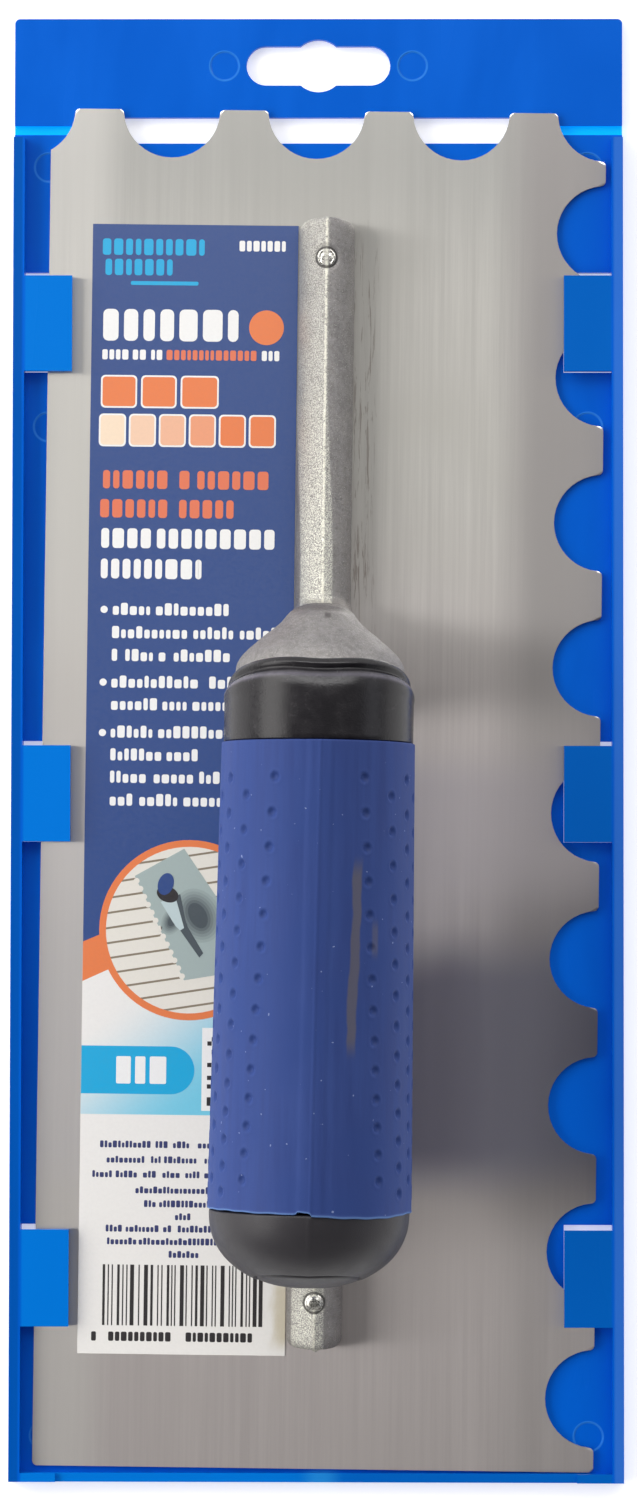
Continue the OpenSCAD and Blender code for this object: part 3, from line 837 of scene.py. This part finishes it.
def grip_sleeve():
    """Soft sleeve: dimpled flanks, a strip with a parting line along the top, a torn edge at the rear."""
    columns = 440
    # Distance from the sleeve's front of each ring of points, closer together at both ends
    edge = np.array([0, 0.06, 0.15, 0.28, 0.45])
    length = SLEEVE_FRONT - SLEEVE_REAR
    depth = np.concatenate([edge, np.linspace(0.7, length - 0.7, 290), length - edge[::-1]])[:, None]
    angle = np.linspace(-math.pi, math.pi, columns, endpoint=False)[None, :]
    share = depth / length
    flank = SLEEVE_FRONT_FLANK + (SLEEVE_REAR_FLANK - SLEEVE_FRONT_FLANK) * share
    radius = section_radius(flank, angle)
    across = angle * flank
    strip = 1 - smooth_step(np.abs(across), 1.9, 2.9)
    radius = radius + 0.13 * strip + 0.11 * bump(across, 0.0, 0.2)
    # The torn rear edge, with a nick at the strip
    rear_edge = 0.65 * bump(angle, 0.55, 0.5) + 0.35 * np.sin(angle) * np.cos(angle / 2)
    rear_edge = rear_edge + 0.05 * np.sin(9 * angle) + 0.05 * np.sin(23 * angle + 1)
    nick = smooth_step(across, -2.9, -2.3) * (1 - smooth_step(across, -0.1, 0.3))
    along = SLEEVE_FRONT - depth - share ** 30 * (rear_edge - 0.55 * nick)
    # Rounded ends, and a thin rim of flash at the rear
    rounding = 0.3
    for distance in (depth, length - depth):
        inside = np.clip(1 - distance / rounding, 0, 1)
        radius = radius - rounding * (1 - np.sqrt(1 - inside ** 2)) * 0.8
    flash = bump(length - depth, 0.16, 0.16) * (1 + 0 * angle)
    radius = radius + 0.1 * flash
    for centre, place in dimple_places():
        rows = np.nonzero(np.abs(along[:, columns // 2] - place) < 1.6)[0]
        away = np.hypot((angle - centre) * flank[rows], along[rows] - place)
        radius[rows] -= 0.52 * (1 - smooth_step(away, 0.4, 1.14))
        radius[rows] += 0.06 * bump(away, 1.32, 0.22)
    # One more ring at each end closes the sleeve along its inner wall
    inner = np.full((1, columns), CORE_RADIUS + 0.05)
    radius = np.concatenate([inner, radius, inner])
    along = np.concatenate([along[:1], along, along[-1:]])
    flash = np.concatenate([0 * flash[:1], flash, 0 * flash[:1]])
    points = round_grip(radius, angle + 0 * radius, along)
    piece = make_piece("grip_sleeve_blue", points, ring_faces(len(radius), columns, True))
    mark_points(piece, "flash", flash)
    finish_piece(piece, "grip_sleeve", soft_grip())


# ---------- label ----------

NAVY = srgb(40, 72, 136)
PAPER = srgb(243, 241, 238)
WHITE = srgb(246, 246, 246)
ORANGE = srgb(236, 128, 72)
CORAL = srgb(230, 120, 84)
CREAM = srgb(250, 226, 200)
CYAN = srgb(0, 172, 226)
SKY = srgb(120, 208, 236)
INK_NAVY = srgb(50, 58, 110)
BLACK = srgb(40, 36, 38)
SLAT = srgb(236, 232, 222)
SLAT_LINE = srgb(140, 128, 108)
STEEL_PRINT = srgb(168, 184, 182)
SHADOW_PRINT = srgb(74, 84, 90)
LABEL_WIDTH = LABEL_HIGH.x - LABEL_LOW.x
LABEL_LENGTH = LABEL_HIGH.y - LABEL_LOW.y
LABEL_FACE = LABEL_HIGH.z
# Height of one layer of ink, and how much longer the print is than its written measures
INK_STEP = 0.012
PRINT_STRETCH = 1.0025
# Down to here the label is navy, and below it pale
NAVY_END = 150.0


class Print:
    """The label's print: coloured shapes in layers, in millimetres across and down from the top left."""

    def __init__(self):
        self.points, self.faces, self.colours = [], [], []
        self.chance = np.random.default_rng(7)

    def shape(self, outline, colour, layer=1, bottom=LABEL_FACE - 0.05):
        """A thin plate of ink. The colour is one colour, or a function of (across, down)."""
        start, count = len(self.points), len(outline)
        top = LABEL_FACE + INK_STEP * layer
        for height in (bottom, top):
            for across, down in outline:
                self.points.append((LABEL_LOW.x + across, LABEL_HIGH.y - down * PRINT_STRETCH, height))
                self.colours.append(colour(across, down) if callable(colour) else colour)
        self.faces.append([start + count + i for i in range(count)][::-1])
        self.faces.append([start + i for i in range(count)])
        for i in range(count):
            j = (i + 1) % count
            self.faces.append([start + i, start + count + i, start + count + j, start + j][::-1])

    def bar(self, left, top, right, bottom, colour, corner=0.0, layer=2):
        """A rectangle, with round corners if asked."""
        outline = [(left, top), (right, top), (right, bottom), (left, bottom)]
        if corner > 0:
            outline = []
            centres = [(right - corner, top + corner, -90), (right - corner, bottom - corner, 0),
                       (left + corner, bottom - corner, 90), (left + corner, top + corner, 180)]
            for across, down, turn in centres:
                for a in np.radians(np.linspace(turn, turn + 90, 5)):
                    outline.append((across + corner * math.cos(a), down + corner * math.sin(a)))
        self.shape(outline, colour, layer)

    def framed(self, left, top, right, bottom, colour):
        """A block in a thin white frame."""
        self.bar(left, top, right, bottom, WHITE, 0.9, 2)
        self.bar(left + 0.35, top + 0.35, right - 0.35, bottom - 0.35, colour, 0.7, 3)

    def words(self, top, height, spans, colour, layer=2, small=0.0):
        """A line of print as plain blocks of uneven width; a share of them may be small in height."""
        for left, right in spans:
            across = left
            while across < right - 0.3 * height:
                width = height * self.chance.uniform(0.34, 0.62)
                end = min(across + width, right)
                drop = 0.27 * height if self.chance.random() < small else 0.0
                self.bar(across, top + drop, end, top + height, colour, 0.16 * height, layer)
                across = end + 0.17 * height

    def oval(self, across, down, half_width, half_height, lean, colour, layer, count=36):
        """An oval turned by its lean, in radians."""
        outline = []
        for turn in full_turn(count):
            side, drop = half_width * math.cos(turn), half_height * math.sin(turn)
            outline.append((across + side * math.cos(lean) + drop * math.sin(lean),
                            down - side * math.sin(lean) + drop * math.cos(lean)))
        self.shape(outline, colour, layer)

    def disc(self, across, down, radius, colour, layer, count=72):
        self.oval(across, down, radius, radius, 0.0, colour, layer, count)


def blend_colour(first, second, share):
    """The colour a share of the way from the first to the second."""
    share = min(max(share, 0.0), 1.0)
    return tuple(a + (b - a) * share for a, b in zip(first, second))


def heading(sheet):
    """The navy upper part: a plain emblem, a title, a tag line, two large titles and the size lines."""
    sheet.words(3.0, 3.4, [(2.1, 23.2)], CYAN)
    sheet.words(7.2, 3.4, [(2.7, 16.8)], CYAN)
    sheet.bar(8.0, 11.8, 22.0, 12.6, CYAN, 0.3)
    sheet.words(3.2, 2.2, [(30.4, 40.2)], WHITE)
    sheet.words(17.6, 6.6, [(2.4, 30.4)], WHITE)
    sheet.disc(36.2, 21.2, 3.6, ORANGE, 2, 40)
    sheet.words(26.0, 2.1, [(2.3, 7.8), (8.6, 11.6), (12.4, 14.7), (35.3, 39.9)], WHITE)
    sheet.words(26.0, 2.1, [(15.6, 34.2)], CORAL)
    for left, right in [(2.1, 9.6), (10.4, 17.8), (18.6, 26.5)]:
        sheet.framed(left, 31.3, right, 38.1, ORANGE)
    for index in range(6):
        left = 1.8 + index * 6.2
        sheet.framed(left, 39.3, left + 5.6, 46.1, blend_colour(CREAM, ORANGE, index / 4))
    sheet.words(51.0, 3.8, [(2.8, 17.6), (18.6, 21.0), (22.3, 37.0)], CORAL)
    sheet.words(57.0, 3.8, [(2.3, 17.4), (18.6, 31.6)], CORAL)
    sheet.words(63.0, 4.1, [(2.6, 12.9), (14.1, 38.4)], WHITE)
    sheet.words(69.3, 4.1, [(2.6, 23.4)], WHITE)


def bullet_lines(sheet):
    """Three bulleted notes in plain blocks."""
    for down in (79.8, 94.8, 105.2):
        sheet.disc(3.4, down, 0.75, WHITE, 2, 24)
    lines = [
        (78.4, [(5.2, 12.9), (14.1, 29.6)]),
        (83.2, [(5.1, 20.9), (21.9, 30.4), (31.5, 40.0)]),
        (87.9, [(5.1, 6.5), (7.9, 13.6), (14.8, 16.6), (17.9, 30.5)]),
        (93.4, [(5.1, 24.1), (25.3, 36.0)]),
        (98.0, [(5.1, 14.6), (15.7, 20.7), (21.9, 34.0)]),
        (103.7, [(5.1, 13.7), (14.9, 31.0)]),
        (108.4, [(5.1, 15.6), (16.7, 23.9)]),
        (113.0, [(5.1, 13.0), (14.1, 22.3), (23.5, 34.0)]),
        (117.7, [(5.1, 10.1), (11.2, 19.2), (20.3, 33.0)]),
    ]
    for down, spans in lines:
        sheet.words(down, 2.5, spans, WHITE, small=0.7)


def chord(across, down, radius, slope, offset):
    """Where a sloping line, offset down from a circle's centre, meets the circle: two points, or none."""
    length = math.hypot(1, slope)
    gap = offset / length
    if abs(gap) >= radius:
        return None
    middle_across = across + gap * slope / length
    middle_down = down + gap / length
    reach = math.sqrt(radius ** 2 - gap ** 2) / length
    return [(middle_across + side * reach, middle_down - side * reach * slope) for side in (-1, 1)]


def picture(sheet):
    """A round picture in an orange ring: a small trowel lying on ribbed adhesive."""
    across, down, radius, ring = 21.8, 145.6, 17.1, 1.4
    sheet.shape([(0, 148.2), (6, 145.6), (8, 152.6), (0, 156.3)], ORANGE, 2)
    sheet.disc(across, down, radius + ring, ORANGE, 3)
    sheet.disc(across, down, radius, SLAT, 4)
    # The ribs of adhesive, as sloping lines
    slope, pitch, line_width = 0.16, 3.1, 0.42
    for offset in np.arange(-5 * pitch, 16, pitch):
        upper = chord(across, down, radius, slope, offset)
        lower = chord(across, down, radius, slope, offset + line_width)
        if upper and lower:
            sheet.shape([upper[0], upper[1], lower[1], lower[0]], SLAT_LINE, 5)
    # The trowel's blade with its notches, and a shadow that darkens inwards
    blade = [(10.5, 134.6), (20.6, 128.9), (28.0, 139.6), (33.6, 149.0), (32.0, 154.0), (20.9, 155.9)]
    sheet.shape(blade, STEEL_PRINT, 6)
    notches = 13
    for index in range(notches):
        share = (index + 0.5) / notches
        sheet.disc(10.5 + share * 10.4, 134.8 + share * 21.1, 0.6, SLAT, 7, 20)
    shades = 6
    for index in range(shades):
        share = (index + 1) / shades
        shade = blend_colour(STEEL_PRINT, SHADOW_PRINT, share)
        sheet.oval(23.6, 142.6, 5.2 - 3.4 * share, 6.4 - 3.6 * share, 0.5, shade, 7 + 0.3 * index)
        sheet.oval(18.4, 143.6, 2.4 - 1.6 * share, 3.6 - 2.2 * share, -0.5, shade, 7 + 0.3 * index)
    # Its shank, in light and in shade, and the grip's end
    sheet.shape([(20.0, 145.7), (21.4, 144.7), (24.8, 150.3), (24.0, 151.2)], SHADOW_PRINT, 9)
    lit = [(15.9, 139.9), (19.9, 138.2), (21.1, 143.8), (21.5, 144.7), (20.0, 145.7), (19.0, 144.8)]
    sheet.shape(lit, srgb(196, 214, 216), 9.5)
    shaded = [(18.9, 138.7), (19.9, 138.2), (21.1, 143.8), (21.5, 144.7), (20.8, 145.2)]
    sheet.shape(shaded, SHADOW_PRINT, 10)
    sheet.oval(17.3, 138.3, 2.3, 1.6, -0.35, BLACK, 10.5)
    sheet.oval(16.9, 136.2, 1.6, 2.3, -0.3, NAVY, 11)


def lower_part(sheet):
    """Below the picture: a cyan tab, a square pattern, small lines of print and a row of upright bars."""
    def wash(across, down):
        """The paper turns pale blue to the lower right."""
        return blend_colour(PAPER, SKY, smooth_step(across / 30 + (down - 152) / 26, 0.55, 1.9))
    rows = np.linspace(NAVY_END, 183.5, 12)
    columns = np.linspace(0.0, LABEL_WIDTH, 12)
    for top, bottom in zip(rows[:-1], rows[1:]):
        for left, right in zip(columns[:-1], columns[1:]):
            sheet.bar(left, top, right, bottom, wash, layer=1)
    tab = [(0, 179.3), (0, 169.5)]
    tab += [(18.4 + 4.9 * math.sin(t), 174.4 - 4.9 * math.cos(t)) for t in np.linspace(0, math.pi, 24)]
    sheet.shape(tab, CYAN, 2)
    for left, right in [(7.2, 10.2), (11.1, 13.2), (14.1, 17.5)]:
        sheet.bar(left, 171.6, right, 177.2, WHITE, 0.3, 3)
    sheet.bar(24.8, 165.6, 42.0, 182.6, WHITE, 0, 2)
    cell = 0.88
    for row in range(17):
        for column in range(17):
            if sheet.chance.random() < 0.45:
                left, top = 25.9 + column * cell, 166.6 + row * cell
                sheet.bar(left, top, left + cell, top + cell, BLACK, 0, 3)
    lines = [
        (188.9, [(4.1, 14.7), (15.5, 18.3), (19.1, 22.4), (24.2, 31.0)]),
        (192.0, [(5.5, 13.8), (14.6, 16.6), (17.3, 24.6), (25.6, 33.0)]),
        (195.0, [(2.6, 6.6), (7.4, 12.2), (13.0, 16.2), (17.0, 21.0), (21.7, 24.6), (25.6, 30.0)]),
        (198.2, [(11.5, 31.0)]),
        (201.0, [(13.3, 15.7), (16.4, 30.0)]),
        (203.6, [(19.7, 23.4)]),
        (206.1, [(5.5, 8.8), (9.6, 16.5), (17.3, 19.5), (20.3, 33.0)]),
        (208.7, [(5.8, 11.8), (12.3, 31.0)]),
        (211.3, [(18.5, 24.6)]),
    ]
    for down, spans in lines:
        sheet.words(down, 1.4, spans, INK_NAVY, small=0.6)
    across = 5.0
    while across < 38.0:
        width = sheet.chance.choice([0.25, 0.25, 0.5, 0.8])
        sheet.bar(across, 214.2, across + width, 226.6, BLACK)
        across += width + sheet.chance.choice([0.4, 0.55, 0.9])
    sheet.words(227.9, 1.9, [(2.8, 4.0), (6.3, 20.0), (22.2, 36.0)], BLACK)


def product_label():
    """The label: paper with a navy upper part, and print in thin plates of ink."""
    sheet = Print()
    length = LABEL_LENGTH / PRINT_STRETCH
    sheet.shape([(0, 0), (LABEL_WIDTH, 0), (LABEL_WIDTH, length), (0, length)], PAPER, 0, bottom=0.01)
    sheet.bar(0, 0, LABEL_WIDTH, NAVY_END, NAVY, layer=0.5)
    heading(sheet)
    bullet_lines(sheet)
    lower_part(sheet)
    picture(sheet)
    piece = make_piece("product_label_print", sheet.points, sheet.faces, smooth=False)
    colours = piece.data.color_attributes.new("ink", "FLOAT_COLOR", "POINT")
    colours.data.foreach_set("color", np.array(sheet.colours, np.float32).ravel())
    finish_piece(piece, "product_label", printed_label())


# ---------- stage, light and camera ----------

CARD_SIZE = (0.40, 0.072)
CARD_PLACE = (0.195, -0.0645, 0.133)
CAMERA_PLACE = (0.0113, -0.0412, 0.9994)
CAMERA_TURN = (2.32, 0.6, 0.695)
CAMERA_LENS = 116.16


def stage_plane(name, size, location, look):
    """A level plane that isn't part of the object."""
    mesh = bpy.data.meshes.new(name)
    half_x, half_y = size[0] / 2, size[1] / 2
    corners = [(-half_x, -half_y, 0), (half_x, -half_y, 0), (half_x, half_y, 0), (-half_x, half_y, 0)]
    mesh.from_pydata(corners, [], [(0, 1, 2, 3)])
    mesh.materials.append(look.material)
    plane = bpy.data.objects.new(name, mesh)
    bpy.context.scene.collection.objects.link(plane)
    plane.location = location
    return plane


def pale_floor():
    """A floor that glows a little, so that it is near white."""
    look = Look("floor_white")
    look.set(Base_Color=(0.9, 0.9, 0.9, 1), Roughness=0.9)
    look.set(Emission_Color=(1, 1, 1, 1), Emission_Strength=0.45)
    stage_plane("floor", (8, 8), (0, 0, -0.0003), look)


def dark_card():
    """A black card above the blade, from its middle to the right, seen only in reflections."""
    look = Look("card_black")
    look.set(Base_Color=(0.0, 0.0, 0.0, 1), Roughness=1.0)
    card = stage_plane("black_flag", CARD_SIZE, CARD_PLACE, look)
    card.visible_camera = False
    card.visible_diffuse = False
    card.visible_shadow = False
    card.visible_transmission = False


def world_light():
    """A pale room, brighter in front: with a strong glow far in front and a weak one far behind."""
    world = bpy.data.worlds.new("room")
    bpy.context.scene.world = world
    world.use_nodes = True
    room = Nodes(world.node_tree)
    x, y, z = room.axes(room.add("ShaderNodeTexCoord").outputs["Generated"])
    light = room.step(y, -0.13, 0.06, 0.12, 0.53)
    light = room.plus(light, room.step(y, 0.3, 0.6, 0.0, 1.1))
    light = room.plus(light, room.step(y, -0.3, -0.6, 0.0, 0.3))
    background = room.tree.nodes["Background"]
    room.feed(background.inputs["Strength"], light)
    room.feed(background.inputs["Color"], (1.0, 0.985, 0.965, 1))


def area_light(name, location, target, size, power, colour=(1, 1, 1)):
    """A rectangular lamp that points at a target."""
    light = bpy.data.lights.new(name, "AREA")
    light.shape = "RECTANGLE"
    light.size, light.size_y = size
    light.energy = power
    light.color = colour
    lamp = bpy.data.objects.new(name, light)
    bpy.context.scene.collection.objects.link(lamp)
    lamp.location = location
    lamp.rotation_euler = (Vector(target) - Vector(location)).to_track_quat("-Z", "Y").to_euler()
    return lamp


def camera():
    """A long lens, nearly straight above."""
    data = bpy.data.cameras.new("camera")
    data.sensor_width = 36
    data.lens = CAMERA_LENS
    data.clip_end = 20
    eye = bpy.data.objects.new("camera", data)
    bpy.context.scene.collection.objects.link(eye)
    eye.location = CAMERA_PLACE
    eye.rotation_euler = [math.radians(a) for a in CAMERA_TURN]
    bpy.context.scene.camera = eye


dress_node("blade", 0.12, brushed_steel())
shank()
rivets()
handle_core()
grip_sleeve()
product_label()
dress_node("blade_guard", 0.3, guard_plastic())
pale_floor()
dark_card()
world_light()
area_light("key", (-1.1, 0.1, 0.62), (0, 0, 0), (1.6, 0.7), 15, (1.0, 0.98, 0.95))
area_light("fill", (1.1, 0.0, 0.4), (0, 0, 0.03), (1.4, 0.4), 1.5, (0.88, 0.92, 1.0))
strip = area_light("strip", (0, 0.6, 1.0), (0, 0, 0.05), (2.0, 0.12), 12)
strip.visible_diffuse = False
camera()
bpy.context.scene.view_settings.view_transform = "Standard"
